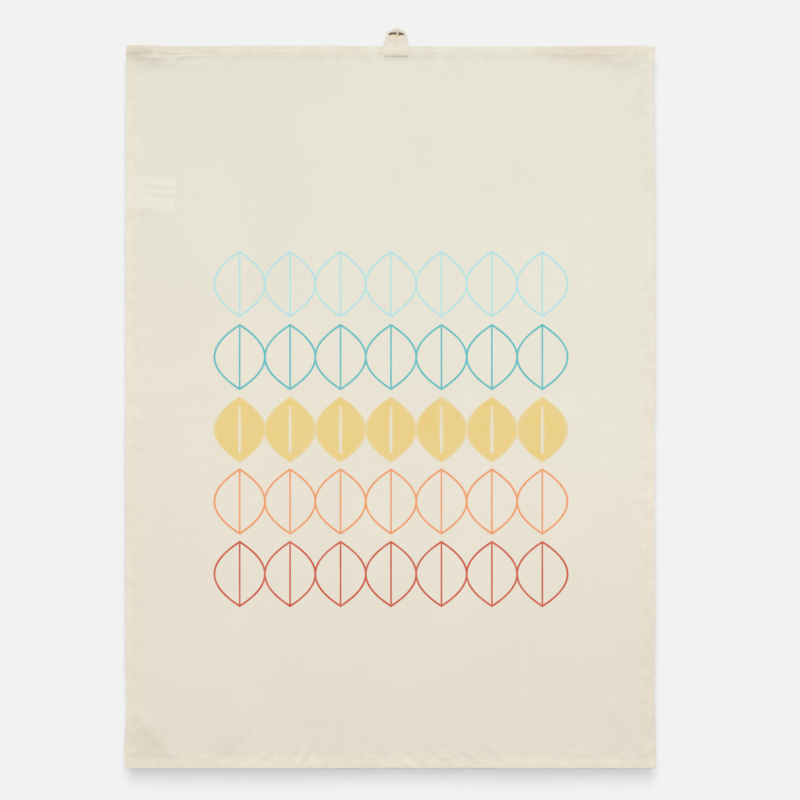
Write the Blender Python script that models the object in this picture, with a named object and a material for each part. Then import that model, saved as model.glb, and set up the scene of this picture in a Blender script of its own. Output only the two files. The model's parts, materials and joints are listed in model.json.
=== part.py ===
"""A cotton tea towel that hangs from a short tape loop.

Frame: metres, +Z up, front of the cloth towards -Y, left and right as seen from the front (+X is
right). The origin is the hook seat, the middle of the flat underside of the loop's top, so the
towel hangs below it. Lengths below are in millimetres.
"""

import math

import bmesh
import bpy
from mathutils import Vector
from mathutils.geometry import tessellate_polygon

MM = 0.001

# Cloth
TOWEL_WIDTH = 500.0
TOWEL_HEIGHT = 681.0
TOWEL_CENTRE_X = -5.0  # the loop is sewn a little right of the middle
TOWEL_TOP = -14.0
TOWEL_BOTTOM = TOWEL_TOP - TOWEL_HEIGHT
LEFT_EDGE = TOWEL_CENTRE_X - TOWEL_WIDTH / 2
RIGHT_EDGE = TOWEL_CENTRE_X + TOWEL_WIDTH / 2
CLOTH_BACK = -1.9
CLOTH_THICKNESS = 0.4
CLOTH_FRONT = CLOTH_BACK - CLOTH_THICKNESS

# Usual fold lines: thirds across the width, half of the height
LEFT_CREASE = TOWEL_CENTRE_X - 83.3
RIGHT_CREASE = TOWEL_CENTRE_X + 84.5
HALF_CREASE = -341.8
CREASE_GAP = 0.6
RIGHT_AXIS_Y = CLOTH_BACK - 1.6  # folds first and lies innermost
LEFT_AXIS_Y = CLOTH_BACK - 4.0  # folds over the right flap

# Double-turned hems
HEM_WIDTH = 9.5
HEM_WRAP = 0.35  # thickness of the part that wraps the towel's edge
HEM_LAYER = 0.4
HEM_OFFSET = 0.3  # from the cloth's back to the inner layer
HEM_LAYER_GAP = 0.05
HEM_INNER_START = 0.8  # from the towel's edge to the inner layer
HEM_BACK = HEM_OFFSET + 2 * HEM_LAYER + HEM_LAYER_GAP
HEM_CLEARANCE = 0.3  # between a hem's wrap and the panel, and between hems at a corner
HEM_END_GAP = 8.5  # the thick side hems stop this far from the half fold
PANEL_INSET = HEM_WRAP + HEM_CLEARANCE

# Stitching
STITCH_AT = 8.0  # from the towel's edge
STITCH_WIDTH = 0.4
STITCH_THICKNESS = 0.15
STITCH_GAP = 0.05
STITCH_END_INSET = 0.2
SIDE_STITCH_LOWER_INSET = 0.5

# Hanging loop of folded tape
LOOP_HALF_WIDTH = 10.7
LOOP_THICKNESS = 0.8
LOOP_TOP = 3.3
LOOP_TOP_HALF = 1.6  # half the width of the flat on top
LOOP_OPENING_HALF = 6.5
LOOP_OPENING_DEPTH = 6.2
LOOP_SLOT_HALF = 0.25
LOOP_AXIS_Z = -13.3
LOOP_FOOT = -12.9
LOOP_TAIL_TOP = -13.9
LOOP_TAIL_END = -23.0
TACK_Z = -19.0
TACK_INSET = 1.2  # from the tape's sides

# Right shoulder of the loop, upwards: inset from the tape's side, z
LOOP_SHOULDER = (
    (0.0, LOOP_FOOT), (0.3, -8.0), (0.6, -4.0), (1.6, -1.0), (3.2, 0.6), (5.0, 1.8), (7.4, 2.9),
)
# Right side of the loop's slot and opening, upwards: x, z
LOOP_OPENING = (
    (LOOP_SLOT_HALF, LOOP_FOOT),
    (LOOP_SLOT_HALF, -LOOP_OPENING_DEPTH - 0.8),
    (1.6, -LOOP_OPENING_DEPTH),
    (LOOP_OPENING_HALF - 0.7, -LOOP_OPENING_DEPTH + 0.8),
    (LOOP_OPENING_HALF, -LOOP_OPENING_DEPTH + 1.8),
    (LOOP_OPENING_HALF, 0.0),
)

# Care label, sewn under the left hem
LABEL_TOP = -136.6
LABEL_HEIGHT = 30.2
LABEL_BOTTOM = LABEL_TOP - LABEL_HEIGHT
LABEL_MIDDLE = LABEL_TOP - LABEL_HEIGHT / 2
LABEL_ROOT = LEFT_EDGE + 10.6
LABEL_END = LEFT_EDGE + 47.2
LABEL_TAIL_LEFT = LEFT_EDGE + 2.5
LABEL_TAIL_RIGHT = LEFT_EDGE + HEM_WIDTH - 0.2
LABEL_TILT = math.radians(2.2)  # the free end hangs down by this much
LABEL_FRONT = CLOTH_BACK + 0.06
LABEL_BACK = LABEL_FRONT + 0.2
LABEL_AXIS_X = LEFT_EDGE + 9.9
LABEL_AXIS_Y = CLOTH_BACK + 1.4

# Printed rows of upright pointed leaves whose sides touch
ROW_WIDTH = 335.0
LEAVES = 7
LEAF_HALF_HEIGHT = 31.4
LEAF_STROKE = 1.9
LEAF_PITCH = (ROW_WIDTH - LEAF_STROKE) / LEAVES
LEAF_HALF_WIDTH = LEAF_PITCH / 2 + LEAF_STROKE / 2
LEAF_RIB = 1.6
LEAF_STEPS = 6
HOLE_HALF_WIDTH = LEAF_HALF_WIDTH - LEAF_STROKE
HOLE_HALF_HEIGHT = LEAF_HALF_HEIGHT - LEAF_STROKE * 1.2
HOLE_END_WIDTH = 0.3  # width of each open half at its tips
SLIT_HALF_HEIGHT = LEAF_HALF_HEIGHT * 0.72
SLIT_TOP_TAPER = 0.4  # width at the slit's top as a share of its full width
INK_THICKNESS = 0.1
INK_GAP = 0.05
INK_ROUGHNESS = 0.9
FILLED_ROW = 3
# Rows from the top down: centre z, ink colour
PRINT_ROWS = (
    (-238.5, (0.50, 0.76, 0.72)),
    (-307.4, (0.16, 0.48, 0.43)),
    (-375.8, (0.80, 0.60, 0.22)),
    (-443.7, (0.80, 0.34, 0.14)),
    (-512.1, (0.55, 0.10, 0.07)),
)

# Finishes: base colour, roughness
COTTON = ((0.80, 0.76, 0.66), 0.95)
HEM_COTTON = ((0.78, 0.72, 0.62), 0.95)
THREAD = ((0.84, 0.80, 0.71), 0.7)
TAPE = ((0.78, 0.74, 0.64), 0.9)
LABEL = ((0.86, 0.85, 0.82), 0.6)

# Joint axes: name, parent, place
PIVOTS = (
    ("towel_frame", None, (0.0, 0.0, 0.0)),
    ("half_fold_axis", "towel_frame", (TOWEL_CENTRE_X, CLOTH_BACK, HALF_CREASE)),
    ("left_fold_axis", "towel_frame", (LEFT_CREASE, LEFT_AXIS_Y, HALF_CREASE / 2)),
    ("right_fold_axis", "towel_frame", (RIGHT_CREASE, RIGHT_AXIS_Y, HALF_CREASE / 2)),
    ("left_fold_lower_axis", "half_fold_axis", (LEFT_CREASE, LEFT_AXIS_Y, HALF_CREASE * 1.5)),
    ("right_fold_lower_axis", "half_fold_axis", (RIGHT_CREASE, RIGHT_AXIS_Y, HALF_CREASE * 1.5)),
    ("loop_tilt_axis", "towel_frame", (0.0, 0.0, LOOP_AXIS_Z)),
    ("label_flip_axis", "left_fold_axis", (LABEL_AXIS_X, LABEL_AXIS_Y, LABEL_MIDDLE)),
)

# The creases part the towel into three columns (left x, right x) and two rows (bottom z, top z)
COLUMNS = {
    "left": (LEFT_EDGE, LEFT_CREASE - CREASE_GAP / 2),
    "centre": (LEFT_CREASE + CREASE_GAP / 2, RIGHT_CREASE - CREASE_GAP / 2),
    "right": (RIGHT_CREASE + CREASE_GAP / 2, RIGHT_EDGE),
}
# The pivot that carries each panel
BODY = {
    ("left", "top"): "left_fold_axis",
    ("centre", "top"): "towel_frame",
    ("right", "top"): "right_fold_axis",
    ("left", "bottom"): "left_fold_lower_axis",
    ("centre", "bottom"): "half_fold_axis",
    ("right", "bottom"): "right_fold_lower_axis",
}
ROWS = {
    "top": (HALF_CREASE + CREASE_GAP / 2, TOWEL_TOP),
    "bottom": (TOWEL_BOTTOM, HALF_CREASE - CREASE_GAP / 2),
}

pivots = {}  # name: (empty, its place in metres)


def add_pivot(name, parent, place):
    """An empty on a joint's axis. The pieces that turn with the joint are its children."""
    empty = bpy.data.objects.new(name, None)
    bpy.context.scene.collection.objects.link(empty)
    place = Vector(place) * MM
    empty.location = place
    if parent:
        parent_empty, parent_place = pivots[parent]
        empty.parent = parent_empty
        empty.location = place - parent_place
    pivots[name] = (empty, place)


def add_material(name, colour, roughness):
    material = bpy.data.materials.new(name)
    material.use_nodes = True
    shader = material.node_tree.nodes["Principled BSDF"]
    shader.inputs["Base Color"].default_value = (*colour, 1.0)
    shader.inputs["Roughness"].default_value = roughness
    shader.inputs["Metallic"].default_value = 0.0
    return material


def add_piece(name, solid, body, finish):
    """Makes an object, with its own material, from a solid in millimetres."""
    bmesh.ops.recalc_face_normals(solid, faces=solid.faces[:])
    empty, place = pivots[body]
    for vertex in solid.verts:
        vertex.co = vertex.co * MM - place
    mesh = bpy.data.meshes.new(name)
    solid.to_mesh(mesh)
    solid.free()
    mesh.materials.append(add_material(name, *finish))
    made = bpy.data.objects.new(name, mesh)
    bpy.context.scene.collection.objects.link(made)
    made.parent = empty


def extruded(outlines, place, start, end):
    """A closed solid: flat outlines, the first outer and the others holes, drawn from start to end.

    place turns an outline's two coordinates and the distance along the run into x, y, z.
    """
    solid = bmesh.new()
    rings = []
    for outline in outlines:
        near = [solid.verts.new(place(*point, start)) for point in outline]
        far = [solid.verts.new(place(*point, end)) for point in outline]
        rings.append((near, far))
    for near, far in rings:
        for i in range(len(near)):
            j = (i + 1) % len(near)
            solid.faces.new((near[i], near[j], far[j], far[i]))
    flat = [[Vector((*point, 0.0)) for point in outline] for outline in outlines]
    for side in (0, 1):
        verts = [vertex for ring in rings for vertex in ring[side]]
        for i, j, k in tessellate_polygon(flat):
            solid.faces.new((verts[i], verts[j], verts[k]))
    return solid


def sheet(outlines, front, back):
    """Outlines in x and z, given thickness in y."""
    return extruded(outlines, lambda x, z, y: (x, y, z), front, back)


def rectangle(left, right, low, high):
    return [(left, low), (right, low), (right, high), (left, high)]


def turned(points, angle, about):
    """Points turned anticlockwise about a point."""
    cosine, sine = math.cos(angle), math.sin(angle)
    about_x, about_z = about
    return [
        (
            about_x + (x - about_x) * cosine - (z - about_z) * sine,
            about_z + (x - about_x) * sine + (z - about_z) * cosine,
        )
        for x, z in points
    ]


def add_panels():
    """Cloth panels between the fold lines, set in from the towel's edges to clear the hems."""
    for (column, row), body in BODY.items():
        left, right = COLUMNS[column]
        bottom, top = ROWS[row]
        left += PANEL_INSET if column == "left" else 0.0
        right -= PANEL_INSET if column == "right" else 0.0
        bottom += PANEL_INSET if row == "bottom" else 0.0
        top -= PANEL_INSET if row == "top" else 0.0
        solid = sheet([rectangle(left, right, bottom, top)], CLOTH_FRONT, CLOTH_BACK)
        add_piece(f"cloth_{column}_{row}", solid, body, COTTON)


def hem_section():
    """The cloth turned twice, seen end on: distance inwards from the towel's edge, y."""
    inner_back = HEM_OFFSET + HEM_LAYER
    outer_front = inner_back + HEM_LAYER_GAP
    section = [
        (0.0, -CLOTH_THICKNESS),
        (0.0, HEM_BACK),
        (HEM_WIDTH, HEM_BACK),
        (HEM_WIDTH, HEM_OFFSET),
        (HEM_INNER_START, HEM_OFFSET),
        (HEM_INNER_START, inner_back),
        (HEM_WIDTH - HEM_LAYER, inner_back),
        (HEM_WIDTH - HEM_LAYER, outer_front),
        (HEM_WRAP, outer_front),
        (HEM_WRAP, -CLOTH_THICKNESS),
    ]
    return [(inset, CLOTH_BACK + y) for inset, y in section]


def add_hem(name, body, place, hem_ends, stitch_ends):
    """One run of hem, with a stitch line on the front and another on the back."""
    add_piece(f"hem_{name}", extruded([hem_section()], place, *hem_ends), body, HEM_COTTON)
    front_stitch = CLOTH_FRONT - STITCH_GAP - STITCH_THICKNESS
    back_stitch = CLOTH_BACK + HEM_BACK + STITCH_GAP
    for side, y in (("front", front_stitch), ("back", back_stitch)):
        ring = rectangle(
            STITCH_AT - STITCH_WIDTH / 2, STITCH_AT + STITCH_WIDTH / 2, y, y + STITCH_THICKNESS
        )
        solid = extruded([ring], place, *stitch_ends)
        add_piece(f"stitch_{side}_{name}", solid, body, THREAD)


def add_top_and_bottom_hems():
    for row, edge, inwards in (("top", TOWEL_TOP, -1.0), ("bottom", TOWEL_BOTTOM, 1.0)):

        def across(inset, y, x, edge=edge, inwards=inwards):
            return (x, y, edge + inwards * inset)

        for column, (left, right) in COLUMNS.items():
            stitch_left = left + (STITCH_AT if column == "left" else STITCH_END_INSET)
            stitch_right = right - (STITCH_AT if column == "right" else STITCH_END_INSET)
            add_hem(
                f"{row}_{column}", BODY[(column, row)], across,
                (left, right), (stitch_left, stitch_right),
            )


def add_side_hems():
    corner = HEM_WIDTH + HEM_CLEARANCE
    spans = {
        "top": (HALF_CREASE + HEM_END_GAP, TOWEL_TOP - corner),
        "bottom": (TOWEL_BOTTOM + corner, HALF_CREASE - HEM_END_GAP),
    }
    for column, edge, inwards in (("left", LEFT_EDGE, 1.0), ("right", RIGHT_EDGE, -1.0)):

        def upwards(inset, y, z, edge=edge, inwards=inwards):
            return (edge + inwards * inset, y, z)

        for row, (bottom, top) in spans.items():
            add_hem(
                f"{column}_{row}", BODY[(column, row)], upwards,
                (bottom, top), (bottom + SIDE_STITCH_LOWER_INSET, top - STITCH_END_INSET),
            )


def add_loop():
    """A tape folded over at the top, its legs side by side, and its tails behind the top hem."""
    front, back = -LOOP_THICKNESS / 2, LOOP_THICKNESS / 2
    outer = [(LOOP_HALF_WIDTH - inset, z) for inset, z in LOOP_SHOULDER]
    outer.append((LOOP_TOP_HALF, LOOP_TOP))
    outline = (
        outer
        + [(-x, z) for x, z in reversed(outer)]
        + [(-x, z) for x, z in LOOP_OPENING]
        + list(reversed(LOOP_OPENING))
    )
    add_piece("hang_loop", sheet([outline], front, back), "loop_tilt_axis", TAPE)

    for side, left, right in (
        ("left", -LOOP_HALF_WIDTH, -LOOP_SLOT_HALF),
        ("right", LOOP_SLOT_HALF, LOOP_HALF_WIDTH),
    ):
        tail = rectangle(left, right, LOOP_TAIL_END, LOOP_TAIL_TOP)
        add_piece(f"loop_tail_{side}", sheet([tail], front, back), "towel_frame", TAPE)

    tack_half = LOOP_HALF_WIDTH - TACK_INSET
    tack = rectangle(-tack_half, tack_half, TACK_Z - STITCH_WIDTH / 2, TACK_Z + STITCH_WIDTH / 2)
    tack_front = back + STITCH_GAP
    solid = sheet([tack], tack_front, tack_front + STITCH_THICKNESS)
    add_piece("loop_tack_stitch", solid, "towel_frame", THREAD)


def add_label():
    """The tail lies between the left hem and the cloth, the free part behind the cloth."""
    tail = rectangle(LABEL_TAIL_LEFT, LABEL_TAIL_RIGHT, LABEL_BOTTOM, LABEL_TOP)
    solid = sheet([tail], LABEL_FRONT, LABEL_BACK)
    add_piece("care_label_tail", solid, "left_fold_axis", LABEL)
    free = rectangle(LABEL_ROOT, LABEL_END, LABEL_BOTTOM, LABEL_TOP)
    free = turned(free, -LABEL_TILT, about=(LABEL_ROOT, LABEL_MIDDLE))
    add_piece("care_label", sheet([free], LABEL_FRONT, LABEL_BACK), "label_flip_axis", LABEL)


def leaf_width(z, half_width, half_height):
    """From a leaf's middle to its edge at height z."""
    return half_width * max(0.0, 1.0 - (z / half_height) ** 2)


def leaf_height(x, half_width, half_height):
    """From a leaf's middle to its edge at distance x sideways."""
    return half_height * math.sqrt(max(0.0, 1.0 - abs(x) / half_width))


def row_outline(centres):
    """The row's outer edge, as offsets from its centre."""
    notch = leaf_height(LEAF_PITCH / 2, LEAF_HALF_WIDTH, LEAF_HALF_HEIGHT)
    upper = []
    for i, centre in enumerate(centres):
        left_foot = 0.0 if i == 0 else notch
        right_foot = 0.0 if i == LEAVES - 1 else notch
        for side, foot, steps in (
            (-1.0, left_foot, range(LEAF_STEPS)),
            (1.0, right_foot, range(LEAF_STEPS, 0, -1)),
        ):
            for k in steps:
                z = foot + (LEAF_HALF_HEIGHT - foot) * k / LEAF_STEPS
                width = leaf_width(z, LEAF_HALF_WIDTH, LEAF_HALF_HEIGHT)
                upper.append((centre + side * width, z))
    upper.append((centres[-1] + LEAF_HALF_WIDTH, 0.0))
    lower = [(x, -z) for x, z in reversed(upper[1:-1])]
    return upper + lower


def leaf_holes(centre):
    """The two open halves of one leaf, either side of its rib."""
    rib_half = LEAF_RIB / 2
    top = leaf_height(rib_half + HOLE_END_WIDTH, HOLE_HALF_WIDTH, HOLE_HALF_HEIGHT)
    heights = [
        top * math.sin(math.pi / 2 * k / LEAF_STEPS) for k in range(-LEAF_STEPS, LEAF_STEPS + 1)
    ]
    half_hole = [(leaf_width(z, HOLE_HALF_WIDTH, HOLE_HALF_HEIGHT), z) for z in heights]
    half_hole += [(rib_half, top), (rib_half, -top)]
    return [[(centre + side * x, z) for x, z in half_hole] for side in (-1.0, 1.0)]


def rib_slit(centre):
    """The open rib of a filled leaf, narrower at the top."""
    half = LEAF_RIB / 2
    top_half = half * SLIT_TOP_TAPER
    return [
        (centre - top_half, SLIT_HALF_HEIGHT),
        (centre - half, 0.0),
        (centre - half, -SLIT_HALF_HEIGHT),
        (centre + half, -SLIT_HALF_HEIGHT),
        (centre + half, 0.0),
        (centre + top_half, SLIT_HALF_HEIGHT),
    ]


def trim(solid, plane_x, keep_right):
    """Cuts the solid at a vertical plane, keeps one side and closes the cut."""
    bmesh.ops.bisect_plane(
        solid,
        geom=solid.verts[:] + solid.edges[:] + solid.faces[:],
        dist=1e-5,
        plane_co=(plane_x, 0.0, 0.0),
        plane_no=(-1.0 if keep_right else 1.0, 0.0, 0.0),
        clear_outer=True,
    )
    rim = [edge for edge in solid.edges if edge.is_boundary]
    bmesh.ops.holes_fill(solid, edges=rim, sides=0)


def add_prints():
    """Rows of leaves on the front, cut at the creases."""
    centres = [(i - (LEAVES - 1) / 2) * LEAF_PITCH for i in range(LEAVES)]
    ink_back = CLOTH_FRONT - INK_GAP
    for number, (row_z, colour) in enumerate(PRINT_ROWS, start=1):
        if number == FILLED_ROW:
            openings = [rib_slit(centre) for centre in centres]
        else:
            openings = [hole for centre in centres for hole in leaf_holes(centre)]
        placed = [
            [(TOWEL_CENTRE_X + x, row_z + z) for x, z in ring]
            for ring in [row_outline(centres)] + openings
        ]
        row = "top" if row_z > HALF_CREASE else "bottom"
        for column, (left, right) in COLUMNS.items():
            solid = sheet(placed, ink_back - INK_THICKNESS, ink_back)
            if column != "left":
                trim(solid, left, keep_right=True)
            if column != "right":
                trim(solid, right, keep_right=False)
            name = f"print_row{number}_{column}"
            add_piece(name, solid, BODY[(column, row)], (colour, INK_ROUGHNESS))


for old in list(bpy.data.objects):
    bpy.data.objects.remove(old, do_unlink=True)

for pivot in PIVOTS:
    add_pivot(*pivot)
add_panels()
add_top_and_bottom_hems()
add_side_hems()
add_loop()
add_label()
add_prints()
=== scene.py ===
"""A tea towel: woven cloth with turned, stitched hems, five rows of printed leaves, a hanging loop
at the middle of its top edge and a care label behind its left side.

The towel stands upright and faces -Y, with its width along X and its height along Z. The loop's
middle is at x = 0. The frame folds at its half and at its left and right folds, and some of the
pieces follow the frame's columns (left, centre, right) and levels (top, bottom). Lengths on the
towel are in millimetres in the frame's own axes, and become metres when a mesh is made.
"""

import bmesh
import bpy
import json
import math
import numpy as np
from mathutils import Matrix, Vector


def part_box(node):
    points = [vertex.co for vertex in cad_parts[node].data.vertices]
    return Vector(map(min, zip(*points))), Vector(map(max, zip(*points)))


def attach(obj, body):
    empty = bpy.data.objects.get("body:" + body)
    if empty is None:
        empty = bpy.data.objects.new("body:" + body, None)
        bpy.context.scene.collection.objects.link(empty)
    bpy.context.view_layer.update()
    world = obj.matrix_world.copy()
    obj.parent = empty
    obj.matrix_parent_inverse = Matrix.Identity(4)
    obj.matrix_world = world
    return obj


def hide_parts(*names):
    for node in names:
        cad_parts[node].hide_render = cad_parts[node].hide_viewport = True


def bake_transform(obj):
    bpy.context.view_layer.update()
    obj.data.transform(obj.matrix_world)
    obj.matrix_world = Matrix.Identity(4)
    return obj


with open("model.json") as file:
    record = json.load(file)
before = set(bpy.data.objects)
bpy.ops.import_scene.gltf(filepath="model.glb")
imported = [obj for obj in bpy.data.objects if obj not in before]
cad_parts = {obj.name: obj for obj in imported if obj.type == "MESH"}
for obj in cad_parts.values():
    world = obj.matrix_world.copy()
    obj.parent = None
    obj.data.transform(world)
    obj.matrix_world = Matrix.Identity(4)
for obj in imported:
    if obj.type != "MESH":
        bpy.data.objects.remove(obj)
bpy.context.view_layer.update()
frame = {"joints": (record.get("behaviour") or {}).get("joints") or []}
MM = 0.001

# ---------------------------------------------------------------- places, read from the frame
joints = {joint["name"]: joint["pos_m"] for joint in frame["joints"]}


def lo(node):
    return np.array(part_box(node)[0]) / MM


def hi(node):
    return np.array(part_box(node)[1]) / MM


LEFT = lo("hem_left_top")[0]
RIGHT = hi("hem_right_top")[0]
TOP = hi("hem_top_centre")[2]
BOTTOM = lo("hem_bottom_centre")[2]
FRONT = lo("cloth_centre_top")[1]
BACK = hi("cloth_centre_top")[1]
WIDTH, HEIGHT = RIGHT - LEFT, TOP - BOTTOM
MIDDLE = (LEFT + RIGHT) / 2

HEM_THICK = hi("hem_top_centre")[1] - BACK
HEM_WIDTH = hi("hem_left_top")[0] - LEFT
STITCH_LINE = 8.0  # how far the hems' stitching lies in from the edge

HALF = joints["half_fold"][2] / MM
CREASE = {"left": joints["left_fold"][0] / MM, "right": joints["right_fold"][0] / MM}
BEND = {"left": 6.3, "right": 2.6}  # half the width of the finer mesh steps about each fold line
SIDES = ("left", "right")
LEVELS = ("top", "bottom")

LABEL_X0 = float(lo("care_label_tail")[0])
LABEL_Z0 = float(hi("care_label_tail")[2])
LABEL_H = float(hi("care_label_tail")[2] - lo("care_label_tail")[2])
LABEL_W = float(hi("care_label")[0]) - LABEL_X0
LABEL_TILT = math.radians(4.5)
LABEL_PIVOT = 10.6  # how far in from the left edge the tilted label keeps its height

# ---------------------------------------------------------------- the cloth's shape
# creases and soft folds, measured right and down from the top left corner:
# start right, start down, end right, end down, width, how far the cloth stands back (+Y)
FOLDS = (
    # top left: short creases pressed along the hem, and the slack cloth under them
    (0.0, 7.0, 9.0, 6.6, 1.7, -0.45), (14.0, 11.4, 28.0, 11.7, 1.7, -0.50),
    (28.0, 11.7, 52.0, 11.2, 1.6, -0.34), (50.0, 10.1, 78.0, 9.5, 1.6, -0.34),
    (40.0, 6.6, 54.0, 7.0, 1.5, -0.34), (22.0, 3.0, 27.0, 8.0, 2.2, -0.30),
    (13.0, 11.0, 40.0, 13.0, 8.0, -1.00), (9.0, 22.0, 12.0, 34.0, 2.2, 0.26),
    (100.0, 8.0, 196.0, 6.5, 4.0, -0.20),
    # top right
    (404.0, 7.6, 421.0, 7.9, 1.6, -0.30), (428.0, 7.4, 452.0, 7.6, 1.7, -0.40),
    (452.0, 8.4, 470.0, 8.0, 1.6, -0.34), (463.0, 14.0, 475.0, 14.6, 2.4, -0.34),
    (452.0, 12.0, 486.0, 13.0, 8.0, -0.85), (486.0, 38.0, 470.0, 60.0, 5.0, -0.26),
    # bottom, from left to right
    (12.0, 634.0, 40.0, 664.0, 6.0, -0.85), (6.0, 667.0, 16.0, 664.0, 2.2, -0.40),
    (30.0, 667.0, 46.0, 668.5, 2.4, -0.44), (76.0, 671.0, 86.0, 668.0, 2.4, -0.40),
    (98.0, 670.0, 120.0, 646.0, 4.6, 0.40), (128.0, 669.0, 139.0, 673.0, 2.4, -0.36),
    (180.0, 670.0, 168.0, 648.0, 5.0, 0.30), (214.0, 668.0, 230.0, 671.0, 2.6, -0.34),
    (250.0, 668.0, 262.0, 640.0, 6.0, 0.30), (300.0, 671.0, 316.0, 668.0, 2.6, -0.36),
    (352.0, 664.0, 374.0, 616.0, 7.0, -0.50), (392.0, 668.0, 404.0, 640.0, 5.0, 0.34),
    (424.0, 667.0, 440.0, 668.5, 2.6, -0.48), (418.0, 668.0, 440.0, 646.0, 4.5, 0.40),
    (462.0, 630.0, 486.0, 664.0, 6.0, -0.60), (478.0, 670.0, 492.0, 667.0, 2.4, -0.40),
)

# how each edge strays: distance along it from its top or left end, offset along +X or +Z
STRAY_LEFT = (
    (0, -0.9), (8, -0.9), (20, 0.0), (60, -0.25), (110, 0.15), (155, 0.3), (200, 0.2),
    (250, -0.17), (345, -0.35), (430, -0.05), (485, -0.12), (530, -0.6), (578, -0.6),
    (600, 0.5), (618, 1.1), (632, 0.7), (646, 0.1), (660, -0.45), (672, -0.1), (681, 0.0),
)
STRAY_RIGHT = (
    (0, -0.5), (8, -0.9), (18, -2.0), (30, -2.0), (41, -1.4), (62, -0.7), (108, -0.05),
    (156, -0.3), (203, -0.05), (250, -0.6), (297, -0.6), (330, -1.6), (345, -1.8),
    (391, -1.0), (440, -0.95), (486, -0.9), (533, -0.25), (580, -1.1), (616, -1.35),
    (646, -0.5), (660, -0.2), (672, 0.1), (681, 0.3),
)
STRAY_TOP = (
    (0, 0.8), (23, 0.85), (37, 0.27), (51, 0.0), (95, 0.0), (107, 0.35), (145, 0.65),
    (183, 0.45), (225, 0.3), (245, 0.0), (287, 0.0), (315, -0.36), (352, -0.3),
    (390, -0.1), (402, 0.0), (430, 0.0), (446, 0.32), (485, 0.36), (500, 0.2),
)
STRAY_BOTTOM = (
    (0, -1.1), (10, -1.0), (25, -0.9), (50, -0.8), (70, -0.5), (120, -0.45), (490, -0.4),
    (500, -0.55),
)


def smooth(start, end, value):
    part = np.clip((value - start) / (end - start), 0.0, 1.0)
    return part * part * (3 - 2 * part)


def bell(distance, width):
    return np.exp(-((distance / width) ** 2))


def off_fold(z, reach):
    """0 at the half fold and 1 away from it, so that the fold's halves meet."""
    return 1.0 - bell(z - HALF, reach)


def ridge(x, z, start_right, start_down, end_right, end_down, width, back):
    """A soft fold along a segment, fading at both ends."""
    start_x, start_z = LEFT + start_right, TOP - start_down
    run_x, run_z = LEFT + end_right - start_x, TOP - end_down - start_z
    length = math.hypot(run_x, run_z)
    along = ((x - start_x) * run_x + (z - start_z) * run_z) / length
    across = ((x - start_x) * run_z - (z - start_z) * run_x) / length
    over = np.maximum(np.maximum(-along, along - length), 0.0)
    return back * np.exp(-((across / width) ** 2) - (over / (width * 2.2)) ** 2)


def pucker(along, inward, seed):
    """Small gathers of a stitched hem: three ripples, strongest just inside the stitch line."""
    height, crest = 0.27, 9.5
    skew = along + 1.25 * (inward - STITCH_LINE) * np.sin(along / 61.0 + seed)
    turn = 2 * np.pi * skew
    wave = (
        0.55 * np.sin(turn / 23.0 + seed + 1.7 * np.sin(along / 47.0 + seed))
        + 0.35 * np.sin(turn / 12.7 + 2.1 * seed + 1.3 * np.sin(along / 31.0))
        + 0.20 * np.sin(turn / 8.3 + 3.7 * seed)
    )
    strength = 0.55 + 0.45 * np.sin(along / 83.0 + 2.3 * seed) * np.sin(along / 37.0 + seed)
    rise = 0.35 + 0.65 * smooth(0.0, crest, inward)
    reach = np.where(inward < crest, rise, bell(inward - crest, 12.0))
    return height * wave * strength * reach


def waves(x, z):
    """Slow unevenness, which grows towards the bottom, and the listed folds."""
    right, down = x - LEFT, TOP - z
    low = down / HEIGHT
    bends = right / 236.0 + 0.10 * np.sin(down / 97.0)
    out = 0.42 * np.sin(2 * np.pi * bends + 0.9) * (0.35 + 0.65 * low)
    out += 0.26 * np.sin(2 * np.pi * (down / 233.0 + right / 1100.0) + 0.4)
    phase = 1.1 * np.sin(down / 71.0)
    out += 0.13 * np.sin(2 * np.pi * (right / 83.0 + down / 310.0) + phase) * (0.4 + 0.6 * low)
    for fold in FOLDS:
        out += ridge(x, z, *fold)
    return out * off_fold(z, 16.0)


def stray_at(table, along):
    spots = np.array(table, float)
    return np.interp(along, spots[:, 0], spots[:, 1])


def wander(x, z):
    """How far the cloth's outline strays along +X and +Z: it is cut and sewn by eye."""
    right, down = x - LEFT, TOP - z
    from_right, from_bottom = WIDTH - right, HEIGHT - down
    # each edge's stray: its ends, its slow and quick waves, then its table
    left_edge = 1.15 * np.exp(-down / 48.0) - 0.28 - 0.75 * np.exp(-from_bottom / 34.0)
    left_edge += 0.22 * np.sin(down / 43.0 + 0.8) + 0.10 * np.sin(down / 17.0)
    left_edge += stray_at(STRAY_LEFT, down)
    right_edge = -0.95 * bell(down - 85.0, 50.0) - 0.20
    right_edge += 0.20 * np.sin(down / 51.0 + 2.1) + 0.10 * np.sin(down / 19.0 + 1.0)
    right_edge += stray_at(STRAY_RIGHT, down)
    off_loop = 1.0 - bell(x, 30.0)
    top_edge = -0.95 * np.exp(-from_right / 7.0)
    top_edge += (0.14 * np.sin(right / 37.0) + 0.08 * np.sin(right / 15.0 + 1.0)) * off_loop
    top_edge += stray_at(STRAY_TOP, right)
    low_edge = 1.35 * np.exp(-right / 5.0) + 0.35 * np.exp(-from_right / 6.0)
    low_edge += 0.15 * np.sin(right / 41.0 + 0.5) + 0.09 * np.sin(right / 16.0)
    low_edge += stray_at(STRAY_BOTTOM, right)

    def near(distance, reach):
        return np.maximum(0.0, 1.0 - distance / reach) ** 2

    across = (left_edge * near(right, 110.0) + right_edge * near(from_right, 110.0))
    up = top_edge * near(down, 60.0) + low_edge * near(from_bottom, 60.0)
    return across * off_fold(z, 16.0), up


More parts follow.
